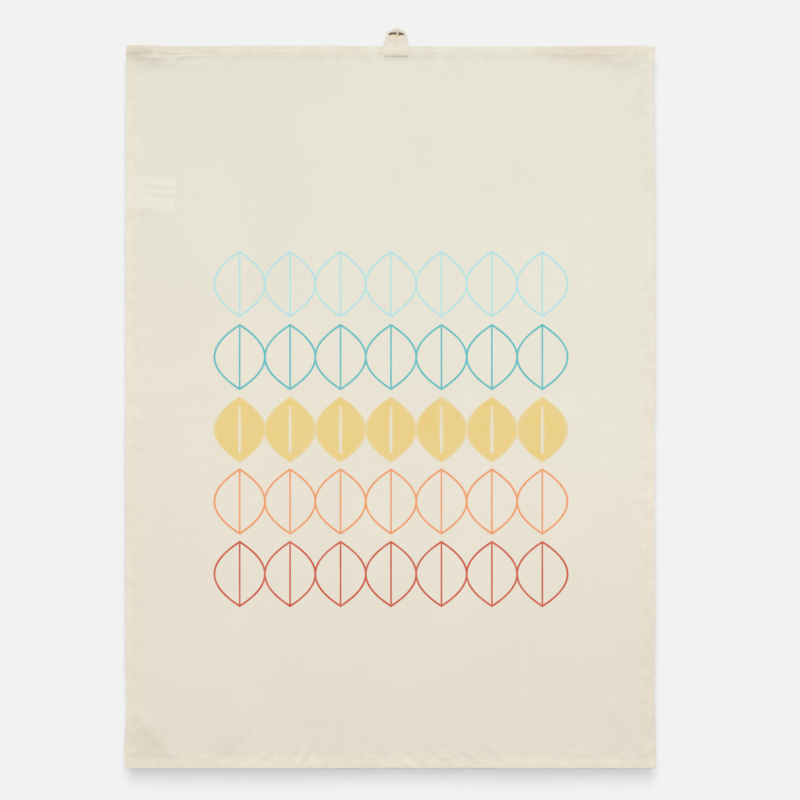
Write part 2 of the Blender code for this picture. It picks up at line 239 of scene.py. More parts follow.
def sheet(x, z):
    """How far the cloth's faces stand back from flat, in millimetres along +Y."""
    x, z = np.asarray(x, float), np.asarray(z, float)
    left, right, top, low = x - LEFT, RIGHT - x, TOP - z, z - BOTTOM
    hem = np.zeros_like(x)
    groove = np.zeros_like(x)
    # distance in from each edge, distance along it, how strongly its hem shows
    edges = ((left, z, 0.80), (right, z, 0.80), (top, x, 0.88), (low, x, 0.55))
    for inward, along, amount in edges:
        uneven = amount * (0.78 + 0.22 * np.sin(along / 17.0 + 1.3 * np.sin(along / 41.0)))
        hem = np.maximum(hem, uneven * (1.0 - smooth(8.4, 12.4, inward)))
        groove = np.maximum(groove, amount * bell(inward - STITCH_LINE, 0.6))
    nearest = np.minimum(np.minimum(left, right), np.minimum(top, low))
    puff = np.sin(np.pi * np.clip(nearest / STITCH_LINE, 0.0, 1.0)) * (nearest < STITCH_LINE)
    out = -0.34 * hem + 0.16 * groove - 0.10 * puff
    gathered = 45  # the hems' gathers end this far in
    out += pucker(left, top, 0.7) * (top < gathered)
    out += pucker(left, low, 2.9) * 2.0 * (low < gathered)
    out += pucker(top, left, 4.4) * (left < gathered) * off_fold(z, 12.0)
    out += pucker(top, right, 5.6) * (right < gathered) * off_fold(z, 12.0)
    # the sewn-in ends of the loop print through as a pressed line
    under_loop = 1.0 - smooth(10.2, 12.6, np.abs(x))
    out += 0.42 * under_loop * bell(top - 9.9, 0.75)
    return out + waves(x, z)


# ---------------------------------------------------------------- mesh helpers
def make_mesh(name, verts, faces, sharp=42.0, attributes=None, stray=True):
    """An object from points in millimetres, with its unstrayed points kept as "rest"."""
    mesh = bpy.data.meshes.new(name)
    verts = np.asarray(verts, float)
    placed = verts.copy()
    if stray:
        across, up = wander(verts[:, 0], verts[:, 2])
        placed[:, 0] += across
        placed[:, 2] += up
    mesh.from_pydata((placed * MM).tolist(), [], faces)
    mesh.update()
    rest = mesh.attributes.new("rest", "FLOAT_VECTOR", "POINT")
    rest.data.foreach_set("vector", verts.astype(np.float32).ravel())
    for key, values in (attributes or {}).items():
        held = mesh.attributes.new(key, "FLOAT", "POINT")
        held.data.foreach_set("value", np.asarray(values, np.float32))
    shell = bmesh.new()
    shell.from_mesh(mesh)
    bmesh.ops.recalc_face_normals(shell, faces=shell.faces[:])
    shell.to_mesh(mesh)
    shell.free()
    mesh.shade_smooth()
    mesh.set_sharp_from_angle(angle=math.radians(sharp))
    made = bpy.data.objects.new(name, mesh)
    bpy.context.scene.collection.objects.link(made)
    return made


def steps(start, end, spans, coarse):
    """Positions from start to end: spans holds (from, to, step), and coarse is the step elsewhere."""
    out, at = [start], start
    marks = sorted({span[0] for span in spans} | {span[1] for span in spans} | {end})
    while at < end - 1e-9:
        inside = [step for low, high, step in spans if low - 1e-9 <= at < high - 1e-9]
        step = min(inside) if inside else coarse
        ahead = [mark for mark in marks if mark > at + 1e-9]
        gap = (min(ahead) if ahead else end) - at
        count = max(1, int(math.ceil(gap / step - 1e-6)))
        for i in range(1, count + 1):
            out.append(at + gap * i / count)
        at = out[-1]
    return np.array(out)


def slab(name, x, z, front, back, stray=True):
    """A closed sheet on a grid, with x, z and the front and back y given for each grid point."""
    columns, rows = x.shape
    total = columns * rows
    verts = [np.stack([x, y, z], -1).reshape(-1, 3) for y in (front, back)]
    i, j = np.meshgrid(np.arange(columns - 1), np.arange(rows - 1), indexing="ij")
    corner = i * rows + j
    face = np.stack([corner, corner + rows, corner + rows + 1, corner + 1], -1).reshape(-1, 4)
    faces = [face, (face + total)[:, ::-1]]
    low = np.arange(columns - 1) * rows
    high = low + rows - 1
    faces.append(np.stack([low, low + total, low + rows + total, low + rows], -1))
    faces.append(np.stack([high, high + rows, high + rows + total, high + total], -1))
    first = np.arange(rows - 1)
    last = (columns - 1) * rows + first
    faces.append(np.stack([first, first + 1, first + 1 + total, first + total], -1))
    faces.append(np.stack([last, last + total, last + 1 + total, last + 1], -1))
    return make_mesh(name, np.concatenate(verts), np.concatenate(faces).tolist(), stray=stray)


def film(name, points, faces, front, back, attributes):
    """A closed thin film from flat faces in x and z, with walls along its open edges."""
    count = len(points)
    verts = [np.stack([points[:, 0], y, points[:, 1]], -1) for y in (front, back)]
    borders = {}  # a dict, since it keeps its order
    for face in faces:
        for pair in zip(face, face[1:] + face[:1]):
            borders[pair] = True
    shell = faces + [[v + count for v in reversed(face)] for face in faces]
    for start, end in borders:
        if (end, start) not in borders:
            shell.append([end, start, start + count, end + count])
    both = {key: np.concatenate([values, values]) for key, values in attributes.items()}
    return make_mesh(name, np.concatenate(verts), shell, attributes=both)


def bar_faces(count, size, base=0):
    """The faces of a bar through count rings of size points, capped at both ends."""
    faces = []
    for i in range(count - 1):
        near, far = base + i * size, base + (i + 1) * size
        for k in range(size):
            after = (k + 1) % size
            faces.append([near + k, near + after, far + after, far + k])
    faces.append([base + k for k in range(size - 1, -1, -1)])
    faces.append([base + (count - 1) * size + k for k in range(size)])
    return faces


def swept(name, rings, stray=True):
    rings = np.asarray(rings, float)
    return make_mesh(name, rings.reshape(-1, 3), bar_faces(*rings.shape[:2]), stray=stray)


# ---------------------------------------------------------------- material helpers
class Value:
    """A node's output. Arithmetic on it adds Math nodes."""

    def __init__(self, nodes, socket):
        self.nodes = nodes
        self.socket = socket

    def __add__(self, other):
        return self.nodes.math("ADD", self, other)

    def __sub__(self, other):
        return self.nodes.math("SUBTRACT", self, other)

    def __rsub__(self, other):
        return self.nodes.math("SUBTRACT", other, self)

    def __mul__(self, other):
        return self.nodes.math("MULTIPLY", self, other)

    def __truediv__(self, other):
        return self.nodes.math("DIVIDE", self, other)

    def __pow__(self, other):
        return self.nodes.math("POWER", self, other)

    def __abs__(self):
        return self.nodes.math("ABSOLUTE", self)

    def stripes(self, pitch):
        """A sine wave that repeats every pitch."""
        return self.nodes.math("SINE", self * (2 * math.pi / pitch))

    def ramp(self, low, high, start=0.0, end=1.0, kind="SMOOTHSTEP"):
        """Runs from start at low to end at high."""
        node = self.nodes.add("ShaderNodeMapRange", interpolation_type=kind)
        keys = ("Value", "From Min", "From Max", "To Min", "To Max")
        for key, value in zip(keys, (self, low, high, start, end)):
            self.nodes.put(value, node.inputs[key])
        return Value(self.nodes, node.outputs["Result"])


class Nodes:
    """Builds the nodes of a new material."""

    def __init__(self, name):
        self.material = bpy.data.materials.new(name)
        self.material.use_nodes = True
        self.tree = self.material.node_tree
        self.shader = self.tree.nodes["Principled BSDF"]

    def add(self, kind, **settings):
        node = self.tree.nodes.new(kind)
        for key, value in settings.items():
            setattr(node, key, value)
        return node

    def out(self, node, key=0):
        return Value(self, node.outputs[key])

    def put(self, value, socket):
        if isinstance(value, Value):
            self.tree.links.new(value.socket, socket)
        elif isinstance(value, tuple):
            socket.default_value = (*value, 1.0)[: len(socket.default_value)]
        else:
            socket.default_value = value

    def math(self, operation, *values):
        node = self.add("ShaderNodeMath", operation=operation)
        for value, socket in zip(values, node.inputs):
            self.put(value, socket)
        return self.out(node)

    def vector_math(self, operation, first, second, key="Vector"):
        node = self.add("ShaderNodeVectorMath", operation=operation)
        self.put(first, node.inputs[0])
        self.put(second, node.inputs[1])
        return self.out(node, key)

    def mix(self, factor, first, second, kind="MIX"):
        node = self.add("ShaderNodeMix", data_type="RGBA", blend_type=kind, clamp_factor=True)
        self.put(factor, node.inputs["Factor"])
        self.put(first, node.inputs[6])
        self.put(second, node.inputs[7])
        return self.out(node, 2)

    def multiply(self, first, second):
        return self.mix(1.0, first, second, "MULTIPLY")

    def mix_shader(self, factor, first, second):
        node = self.add("ShaderNodeMixShader")
        for value, socket in zip((factor, first, second), node.inputs):
            self.put(value, socket)
        return self.out(node)

    def surface(self, inputs):
        for key, value in inputs.items():
            self.put(value, self.shader.inputs[key])


class ClothNodes(Nodes):
    """Nodes that read a mesh's rest positions, in millimetres."""

    def __init__(self, name):
        super().__init__(name)
        self.rest = self.attribute("rest", "Vector")
        split = self.add("ShaderNodeSeparateXYZ")
        self.put(self.rest, split.inputs[0])
        self.x, self.y, self.z = (Value(self, socket) for socket in split.outputs)

    def attribute(self, name, key):
        return self.out(self.add("ShaderNodeAttribute", attribute_name=name), key)

    def scaled(self, scale):
        return self.vector_math("MULTIPLY", self.rest, scale)

    def noise(self, scale, detail=2.0, roughness=0.5):
        """Noise with scale repeats per millimetre along x, y and z."""
        node = self.add("ShaderNodeTexNoise")
        self.put(self.scaled(scale), node.inputs["Vector"])
        self.put(1.0, node.inputs["Scale"])
        self.put(detail, node.inputs["Detail"])
        self.put(roughness, node.inputs["Roughness"])
        return self.out(node, "Fac")

    def bump(self, height, strength, distance):
        node = self.add("ShaderNodeBump")
        self.put(strength, node.inputs["Strength"])
        self.put(distance, node.inputs["Distance"])
        self.put(height, node.inputs["Height"])
        return self.out(node, "Normal")

    def weave(self, pitch=0.52):
        """The height of a plain weave: each thread passes over one and under the next."""
        across, up = self.x.stripes(2 * pitch), self.z.stripes(2 * pitch)
        roundness = 0.6
        over = (across * up).ramp(low=-0.25, high=0.25)
        node = self.add("ShaderNodeMix")
        self.put(over, node.inputs["Factor"])
        self.put(abs(up) ** roundness, node.inputs[2])
        self.put(abs(across) ** roundness, node.inputs[3])
        return self.out(node)


def paint(*shade):
    """The linear colour of a screen colour given from 0 to 255."""
    return tuple(
        v / 255 / 12.92 if v / 255 <= 0.04045 else ((v / 255 + 0.055) / 1.055) ** 2.4
        for v in shade
    )


def dimmed(colour, share):
    return tuple(v * share for v in colour)


# ---------------------------------------------------------------- materials
CLOTH_TONE = paint(231.5, 227.0, 212.5)
# the cotton's colour down the cloth, in part painted shade, darkest and warmest near the bottom: how
# far down the cloth as a share of its height, colour there
TONE_AND_SHADE_STOPS = (
    (0.0, paint(229.4, 225.9, 211.3)),
    (0.14, paint(230.6, 227.5, 212.5)),
    (0.28, paint(231.5, 227.8, 212.9)),
    (0.50, paint(232.8, 227.3, 212.3)),
    (0.62, paint(232.2, 226.2, 210.8)),
    (0.73, paint(231.2, 224.2, 208.3)),
    (0.84, paint(228.8, 221.6, 205.8)),
    (0.90, paint(227.6, 220.4, 204.5)),
    (0.96, paint(226.8, 219.6, 203.9)),
)
# the colours of painted shade: a grey brown and a warmer brown
SHADE, WARM_SHADE = (0.42, 0.34, 0.23), (0.68, 0.46, 0.33)
# soft ovals of painted shade where layers stack, and in the hollows beside them:
# centre right and down from the top left corner, half width, half height, strength, colour
OVALS = (
    (9.0, 7.5, 19.0, 10.5, 0.30, SHADE), (30.0, 6.5, 34.0, 7.5, 0.17, SHADE),
    (24.0, 17.0, 20.0, 9.0, 0.13, SHADE), (70.0, 6.0, 45.0, 7.0, 0.05, SHADE),
    (254.0, 7.6, 25.0, 4.5, 0.10, SHADE), (278.0, 10.0, 16.0, 4.5, 0.06, SHADE),
    (432.0, 7.0, 60.0, 8.0, 0.05, SHADE), (440.0, 7.0, 76.0, 15.0, 0.23, WARM_SHADE),
    (468.0, 23.0, 22.0, 13.0, 0.05, SHADE), (21.0, 158.5, 17.0, 8.0, 0.08, SHADE),
    (22.0, 658.0, 32.0, 26.0, 0.11, SHADE), (98.0, 662.0, 22.0, 18.0, 0.06, SHADE),
)
# bits of seed husk: cells per millimetre, size in cells, share of cells, strength, seed
HUSKS = ((0.062, 0.030, 0.60, 0.50, 3.1), (0.105, 0.036, 0.45, 0.26, 8.7))
HUSK_COLOUR = (0.30, 0.19, 0.09)


def cotton_base(mat):
    """The cotton's colour, with painted shade in its darkening towards the bottom, and the height of
    its weave and yarns.
    """
    depth = mat.z.ramp(TOP, BOTTOM, kind="LINEAR")
    bands = mat.add("ShaderNodeValToRGB")
    mat.put(depth, bands.inputs[0])
    stops = bands.color_ramp.elements
    for k, (at, shade) in enumerate(TONE_AND_SHADE_STOPS):
        stop = stops[k] if k < 2 else stops.new(at)
        stop.position = at
        stop.color = (*shade, 1.0)
    colour = mat.out(bands)
    # a little warmer at the left than at the right, down to the lower third
    warm, cool = (0.997, 0.986, 0.981), (1.003, 1.012, 1.017)
    side = mat.mix(mat.x.ramp(LEFT, RIGHT), warm, cool)
    colour = mat.mix(depth.ramp(low=0.78, high=0.55), colour, mat.multiply(colour, side))
    # thick and thin yarns both ways, slow tone changes and the weave
    weft = mat.noise(scale=(0.018, 0.0, 1.45), detail=3.0, roughness=0.6)
    warp = mat.noise(scale=(1.35, 0.0, 0.016), detail=3.0, roughness=0.6)
    broad = mat.noise(scale=(0.011, 0.0, 0.009))
    weave = mat.weave()
    tone = (weft - 0.5) * 0.085 + 1.0
    # each one's middle value, and how much of it colours the cloth
    for value, middle, amount in ((warp, 0.5, 0.075), (broad, 0.5, 0.06), (weave, 0.7, 0.05)):
        tone = tone + (value - middle) * amount
    grey = mat.add("ShaderNodeCombineColor")
    for socket in grey.inputs[:3]:
        mat.put(tone, socket)
    return mat.multiply(colour, mat.out(grey)), weave + (weft + warp) * 0.8


def label_showing(mat, colour):
    """The pale label behind the cloth, painted as it shows through: a lighter patch, with its bars as
    darker marks.
    """
    cos, sin = math.cos(LABEL_TILT), math.sin(LABEL_TILT)

    def turned(x_part, z_part):
        from_top = mat.z - (LABEL_Z0 + LABEL_PIVOT * sin)
        return (mat.x - LABEL_X0) * x_part + from_top * z_part

    along, down = turned(cos, -sin), turned(-sin, -cos)
    soft = 0.8
    patch = along.ramp(-soft, soft) * along.ramp(LABEL_W + soft, LABEL_W - soft)
    patch = patch * down.ramp(-soft, soft) * down.ramp(LABEL_H + soft, LABEL_H - soft)
    colour = mat.mix(patch * 0.17, colour, (0.97, 0.95, 0.88))
    marks = along.ramp(low=14.0, high=17.0) * along.ramp(LABEL_W - 1.0, LABEL_W - 4.0)
    marks = marks * (down.ramp(low=4.5, high=6.5) * down.ramp(low=23.0, high=21.0))
    marks = marks * down.stripes(pitch=7.4).ramp(low=-0.7, high=0.5) * patch
    return mat.mix(marks * 0.10, colour, (0.45, 0.42, 0.38))


def hem_shading(mat, colour):
    """Painted light and shade: tints and lighter and darker patches along the hems, and shade painted
    darker where layers hide the light, along the hems, under the loop and at OVALS.
    """
    # painted light and shade: lighter and darker patches near the hems, standing in for the light and
    # shade of their gathers
    patchy = mat.noise(scale=(0.085, 0.0, 0.085), detail=3.0, roughness=0.65)
    dull, bright = (0.955, 0.940, 0.930), (1.03, 1.03, 1.02)
    patchy = mat.mix(patchy.ramp(low=0.34, high=0.66), dull, bright)
    near = None
    # position, the edge's place, direction inwards, the hem's tint, which paints in light and shade
    for value, edge, sign, tint in (
        (mat.x, LEFT, 1.0, (1.021, 1.008, 0.998)),
        (mat.x, RIGHT, -1.0, (1.020, 0.995, 0.999)),
        (mat.z, TOP, -1.0, (1.016, 1.004, 0.986)),
        (mat.z, BOTTOM, 1.0, (1.044, 1.039, 1.039)),
    ):
        inward = (value - edge) * sign
        tinted = mat.multiply(colour, tint)
        colour = mat.mix(inward.ramp(low=12.0, high=8.6), colour, tinted)
        band = inward.ramp(low=22.0, high=7.0)
        near = band if near is None else mat.math("MAXIMUM", near, band)
    patchiness = 0.62
    colour = mat.mix(near * patchiness, colour, mat.multiply(colour, patchy))
    # two lines of painted shade under the loop: depth below the top, reach, core, strength, colour
    under = abs(mat.x).ramp(low=12.8, high=10.4) * 1.0
    for depth, reach, core, strength, dark in (
        (9.9, 1.7, 0.3, 0.40, (0.36, 0.30, 0.20)),
        (12.0, 2.6, 0.6, 0.15, (0.40, 0.34, 0.22)),
    ):
        line = abs((float(TOP) - mat.z) - depth).ramp(reach, core)
        colour = mat.mix(under * line * strength, colour, dark)
    for right, down, reach, rise, strength, dark in OVALS:
        across = (mat.x - (LEFT + right)) / reach
        up = (mat.z - (TOP - down)) / rise
        far = mat.math("SQRT", across * across + up * up)
        colour = mat.mix(far.ramp(low=1.0, high=0.2) * strength, colour, dark)
    return colour


def husk_flecks(mat, colour, share_shown):
    """Sparse bits of seed husk caught in the yarn."""
    for scale, size, share, strength, seed in HUSKS:
        cells = mat.add("ShaderNodeTexVoronoi", feature="F1")
        mat.put(1.0, cells.inputs["Scale"])
        spots = mat.scaled((scale, 0.0, scale * 1.55))
        moved = mat.vector_math("ADD", spots, (seed, 0.0, seed * 1.7))
        mat.put(moved, cells.inputs["Vector"])
        pick = mat.add("ShaderNodeSeparateColor")
        mat.put(mat.out(cells, "Color"), pick.inputs[0])
        chosen = mat.math("GREATER_THAN", mat.out(pick, 0), 1.0 - share)
        wide = (mat.out(pick, 1) + 0.5) * size
        spot = mat.out(cells, "Distance").ramp(wide, wide * 0.35)
        colour = mat.mix(spot * chosen * (strength * share_shown), colour, HUSK_COLOUR)
    return colour


def cloth_material(name, flecks, shaded):
    """Cotton: flecks is the husks' strength, and shaded adds the label's painted show-through and the
    hems' painted light and shade.
    """
    mat = ClothNodes(name)
    colour, height = cotton_base(mat)
    if shaded:
        colour = hem_shading(mat, label_showing(mat, colour))
    mat.surface({
        "Base Color": husk_flecks(mat, colour, flecks),
        "Roughness": 0.92,
        "Specular IOR Level": 0.18,
        "Sheen Weight": 0.04,
        "Sheen Roughness": 0.5,
        "Normal": mat.bump(height, strength=0.35, distance=0.00012),
    })
    return mat.material


def ink_material(name, colour, soft_edge):
    mat = ClothNodes(name)
    patch = mat.noise(scale=(0.055, 0.0, 0.05), detail=3.0, roughness=0.6)
    grain = mat.noise(scale=(1.9, 0.0, 1.9), roughness=0.7)
    weave = mat.weave()
    faded = mat.mix(0.30, colour, CLOTH_TONE)
    shade = mat.mix(patch.ramp(low=0.32, high=0.68, end=0.34), colour, faded)
    # the cloth's threads stand clear of the ink here and there
    bare = grain.ramp(low=0.60, high=0.74) * weave.ramp(low=0.55, high=0.95)
    shade = mat.mix(bare * 0.45, shade, CLOTH_TONE)
    if soft_edge:
        inside = mat.attribute("inside", "Fac")
        shade = mat.mix(inside.ramp(0.0, 1.0, start=0.42, end=0.0), shade, CLOTH_TONE)
    mat.surface({
        "Base Color": shade,
        "Roughness": 0.82,
        "Specular IOR Level": 0.22,
        "Normal": mat.bump(weave + grain, strength=0.3, distance=0.0001),
    })
    return mat.material


def thread_material(name, colour):
    mat = ClothNodes(name)
    twist = mat.math("SINE", (mat.x + mat.z + mat.y * 2.0) * 14.0)
    shade = mat.mix(twist.ramp(low=-1.0, high=1.0, end=0.25), colour, dimmed(colour, 0.72))
    tone = mat.noise(scale=(0.3, 0.3, 0.3))
    shade = mat.mix(tone.ramp(low=0.3, high=0.7, end=0.2), shade, dimmed(colour, 0.85))
    mat.surface({
        "Base Color": shade,
        "Roughness": 0.7,
        "Normal": mat.bump(twist, strength=0.4, distance=0.00008),
    })
    return mat.material


def tape_material(name, colour, dark=None):
    """Twill tape. With dark, painted shadow of that colour fills the slot under the loop's folded
    top.
    """
    mat = ClothNodes(name)
    twill = (abs(mat.x) + mat.z).stripes(pitch=0.9)
    yarn = mat.x.stripes(pitch=0.45)
    tone = mat.noise(scale=(0.35, 0.35, 0.2), detail=3.0, roughness=0.6)
    warmer = tuple(v * part for v, part in zip(colour, (0.93, 0.91, 0.87)))
    shade = mat.mix(tone.ramp(low=0.3, high=0.7, end=0.35), colour, warmer)
    shade = mat.mix(twill.ramp(low=-1.0, high=1.0, end=0.10), shade, dimmed(colour, 0.7))
    if dark is not None:
        # the shadow's lower edge is an arc on the left, and slopes on the right
        arc = (mat.x + 2.6) ** 2.0 * 0.075
        slope = mat.x.ramp(low=1.0, high=2.2) * ((9.0 - mat.x) * 0.16)
        deep = mat.z + arc * mat.math("LESS_THAN", mat.x, 1.0) + slope
        shade = mat.mix(deep.ramp(low=-3.0, high=-1.9), shade, dark)
        yarns = mat.noise(scale=(2.2, 0.0, 0.8), roughness=0.7)
        shade = mat.mix(yarns.ramp(low=0.35, high=0.75, end=0.22), shade, dimmed(colour, 0.55))
    # painted shade along the folded edge between the two legs
    gap = abs(mat.x).ramp(low=0.9, high=0.2) * mat.z.ramp(low=-8.5, high=-9.5)
    shade = mat.mix(gap * 0.18, shade, dimmed(colour, 0.62))
    mat.surface({
        "Base Color": shade,
        "Roughness": 0.9,
        "Specular IOR Level": 0.2,
        "Normal": mat.bump(twill * 0.6 + yarn * 0.4, strength=0.4, distance=0.00012),
    })
    return mat.material


def label_material(name):
    """Satin with plain bars along both long edges and a row of plain squares."""
    mat = ClothNodes(name)
    across, down = mat.x - LABEL_X0, LABEL_Z0 - mat.z
    tone = mat.noise(scale=(0.12, 0.0, 0.5))
    pale, greyer, mark = (0.86, 0.85, 0.82), (0.80, 0.79, 0.76), (0.42, 0.41, 0.40)
    colour = mat.mix(tone.ramp(low=0.3, high=0.7, end=0.4), pale, greyer)
    bars = [abs(down - at).ramp(low=0.45, high=0.3) for at in (3.2, 26.6)]
    bar = mat.math("MAXIMUM", *bars) * across.ramp(low=10.5, high=11.0)
    row_start, row_end, half_pitch = 14.0, 44.0, 3.0
    cell = mat.math("PINGPONG", across - row_start, half_pitch)
    square = cell.ramp(low=1.6, high=1.9) * abs(down - 15.0).ramp(low=1.4, high=1.2)
    in_row = across.ramp(row_start, row_start + 0.2) * across.ramp(row_end, row_end - 0.2)
    marks = mat.math("MAXIMUM", bar, square * in_row)
    mat.surface({
        "Base Color": mat.mix(marks * 0.55, colour, mark),
        "Roughness": 0.42,
        "Sheen Weight": 0.1,
        "Normal": mat.bump(mat.z.stripes(pitch=0.35), strength=0.2, distance=0.00006),
    })
    return mat.material


def dress(obj, material):
    obj.data.materials.clear()
    obj.data.materials.append(material)


cotton = cloth_material("natural_cotton", flecks=1.0, shaded=True)
hem_cotton = cloth_material("hem_cotton", flecks=0.8, shaded=False)
thread = thread_material("sewing_thread", paint(229, 223, 209))
tape = tape_material("loop_tape", paint(231, 224.5, 210))
# the inner layer's tape, painted dark as shadow in its upper part
tape_inside = tape_material("loop_tape_inside", paint(236, 222, 196), dark=paint(128, 106, 78))
satin_label = label_material("label_satin")


# ---------------------------------------------------------------- cloth, in quarters
ROUNDING = 0.22  # how far in the cloth's edge is rounded
SEAM = 0.12  # a narrow strip where two quarters meet
CLOTH_STEP = 2.1


def edge_spans(edge, inward, hem_step):
    """Fine steps over the rounded edge and then the hem. inward is 1 or -1."""
    rim, hem = edge + inward * 0.24, edge + inward * 12.4
    return [(min(edge, rim), max(edge, rim), 0.06), (min(rim, hem), max(rim, hem), hem_step)]


def fold_span(side, step):
    return (CREASE[side] - BEND[side] - 1, CREASE[side] + BEND[side] + 1, step)


def half_span(side, inset):
    """From the side's edge, set in by inset, to the middle, in order along x."""
    return (LEFT + inset, MIDDLE) if side == "left" else (MIDDLE, RIGHT - inset)


# the spans at 9.6 to 12.8 follow the loop's sides
LEFT_SPANS = [fold_span("left", 0.7), (-12.8, -9.6, 0.5), (MIDDLE - SEAM, MIDDLE, SEAM)]
RIGHT_SPANS = [(MIDDLE, MIDDLE + SEAM, SEAM), (9.6, 12.8, 0.5), fold_span("right", 0.5)]
COLUMNS = {
    "left": steps(LEFT, MIDDLE, edge_spans(LEFT, 1, 0.62) + LEFT_SPANS, CLOTH_STEP),
    "right": steps(MIDDLE, RIGHT, edge_spans(RIGHT, -1, 0.62) + RIGHT_SPANS, CLOTH_STEP),
}
LOW_SPANS = edge_spans(BOTTOM, 1, 0.62) + [(HALF - SEAM, HALF, SEAM)]
HIGH_SPANS = edge_spans(TOP, -1, 0.5) + [(HALF, HALF + SEAM, SEAM)]
ROWS = {
    "top": steps(HALF, TOP, HIGH_SPANS, CLOTH_STEP),
    "bottom": steps(BOTTOM, HALF, LOW_SPANS, CLOTH_STEP),
}


def cloth_piece(name, xs, zs):
    x, z = np.meshgrid(xs, zs, indexing="ij")
    nearest = np.minimum(np.minimum(x - LEFT, RIGHT - x), np.minimum(TOP - z, z - BOTTOM))
    outer = 1.0 - np.clip(nearest / ROUNDING, 0.0, 1.0)
    half = (BACK - FRONT) / 2 * np.sqrt(np.maximum(0.03, 1.0 - outer * outer))
    middle = (BACK + FRONT) / 2 + sheet(x, z)
    made = slab(name, x, z, middle - half, middle + half)
    dress(made, cotton)
    return made


def bend(obj, level):
    """Bakes the piece's place into its mesh."""
    at = HALF * (0.5 if level == "top" else 1.5)
    at * MM
    at * MM
    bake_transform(obj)


for side in SIDES:
    for level in LEVELS:
        made = cloth_piece(f"cloth_sheet_{side}_{level}", COLUMNS[side], ROWS[level])
        bend(made, level)
        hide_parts(f"cloth_{side}_{level}", f"cloth_centre_{level}")


# ---------------------------------------------------------------- hems
def on_edge(edge, along, inward):
    """The (x, z) of a point at along on an edge and inward from it."""
    if edge == "left":
        return LEFT + inward, along
    if edge == "right":
        return RIGHT - inward, along
    if edge == "top":
        return along, TOP - inward
    return along, BOTTOM + inward


def thinning(edge, along):
    """The side hems thin out towards the half fold."""
    if edge in ("top", "bottom"):
        return np.ones_like(along)
    return np.clip((np.abs(along - HALF) * 0.15 + 0.02) / HEM_THICK, 0.05, 1.0)


def hem_ring(thin):
    """The turned hem seen end on, as (inwards, behind the cloth), dipping at its stitch line."""
    full = HEM_THICK * thin
    points = [(0.30, 0.03), (4.0, 0.02), (8.6, 0.03), (9.15, 0.10 * thin)]
    # the rounded fold along its inner side
    for k in range(5):
        angle = -math.pi / 2 + math.pi * k / 4
        inward = HEM_WIDTH - 0.42 + 0.40 * math.cos(angle)
        points.append((inward, full * (0.50 + 0.44 * math.sin(angle))))
    points += [
        (8.6, full * 0.90),
        (STITCH_LINE + 0.25, full * 0.74),
        (STITCH_LINE - 0.25, full * 0.74),
        (7.2, full * 0.93),
        (5.6, full * 1.00),
        (3.4, full * 1.00),
        (1.6, full * 0.97),
    ]
    # the rounded outer edge
    for k in range(5):
        angle = math.pi / 2 + math.pi / 2 * k / 4
        back = 0.05 + (full * 0.93 - 0.05) * math.sin(angle)
        points.append((0.55 + 0.55 * math.cos(angle), back))
    return points


def hem_piece(name, edge, start, end, fine):
    """A hem along an edge from start to end, with its fine span as (from, to, step)."""
    rings = []
    for along in steps(start, end, [fine], 1.9):
        inward, back = np.array(hem_ring(float(thinning(edge, along)))).T
        x, z = on_edge(edge, np.full_like(inward, along), inward)
        rings.append(np.stack([x, BACK + back + sheet(x, z), z], -1))
    made = swept(name, rings)
    dress(made, hem_cotton)
    return made


side_gap = HEM_WIDTH + 0.1
hem_step = 0.8
for level in LEVELS:
    for side in SIDES:
        start, end = half_span(side, 0.02)
        name = f"turned_hem_{level}_{side}"
        made = hem_piece(name, level, start, end, fold_span(side, hem_step))
        bend(made, level)
        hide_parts(f"hem_{level}_{side}", f"hem_{level}_centre")
        if level == "top":
            start, end = HALF, TOP - side_gap
        else:
            start, end = BOTTOM + side_gap, HALF
        name = f"turned_hem_{side}_{level}"
        made = hem_piece(name, side, start, end, (HALF - 9.0, HALF + 9.0, hem_step))
        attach(made, f"{side}_{level}")
        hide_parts(f"hem_{side}_{level}")

# ---------------------------------------------------------------- stitching
STITCH_LONG, STITCH_STEP, STITCH_RADIUS = 2.45, 3.0, 0.19
STITCH_SIDES = 6
# a stitch's rings: place along it as a share of its length, share of its radius
STITCH_PROFILE = ((-0.5, 0.25), (-0.40, 0.8), (0.0, 1.0), (0.40, 0.8), (0.5, 0.25))


def stitch_circle():
    angles = (2 * math.pi * k / STITCH_SIDES for k in range(STITCH_SIDES))
    return [(math.cos(angle), math.sin(angle)) for angle in angles]


def hem_stitches(name, edge, start, end):
    """Lock stitches, one by one, on the front and on the back of a hem."""
    count = max(1, int((end - start) / STITCH_STEP))
    pad = ((end - start) - count * STITCH_STEP) / 2
    # each point: x, y from the stitch's core, z, the core's x and z, its dip, 1 if on the back
    verts, faces = [], []
    for is_back in (False, True):
        slant = 0.05 if is_back else -0.05
        for number in range(count):
            centre = start + pad + (number + 0.5) * STITCH_STEP
            faces += bar_faces(len(STITCH_PROFILE), STITCH_SIDES, len(verts))
            for part, share in STITCH_PROFILE:
                along = centre + part * STITCH_LONG
                inward = STITCH_LINE + slant * part * STITCH_LONG
                radius = share * STITCH_RADIUS
                dip = 0.26 * (abs(part) * 2) ** 4
                core = on_edge(edge, along, inward)
                for cos, sin in stitch_circle():
                    x, z = on_edge(edge, along, inward + radius * cos)
                    verts.append((x, radius * sin, z, *core, dip, is_back))
    x, y, z, core_x, core_z, dip, is_back = np.array(verts, float).T
    offset = sheet(core_x, core_z)
    y_front = FRONT + offset - 0.04 + dip
    y_back = BACK + HEM_THICK * 0.76 * thinning(edge, core_z) + offset + 0.08 - dip
    y = np.where(is_back > 0.5, y_back, y_front) + y
    made = make_mesh(name, np.stack([x, y, z], -1), faces, sharp=70)
    dress(made, thread)
    return made


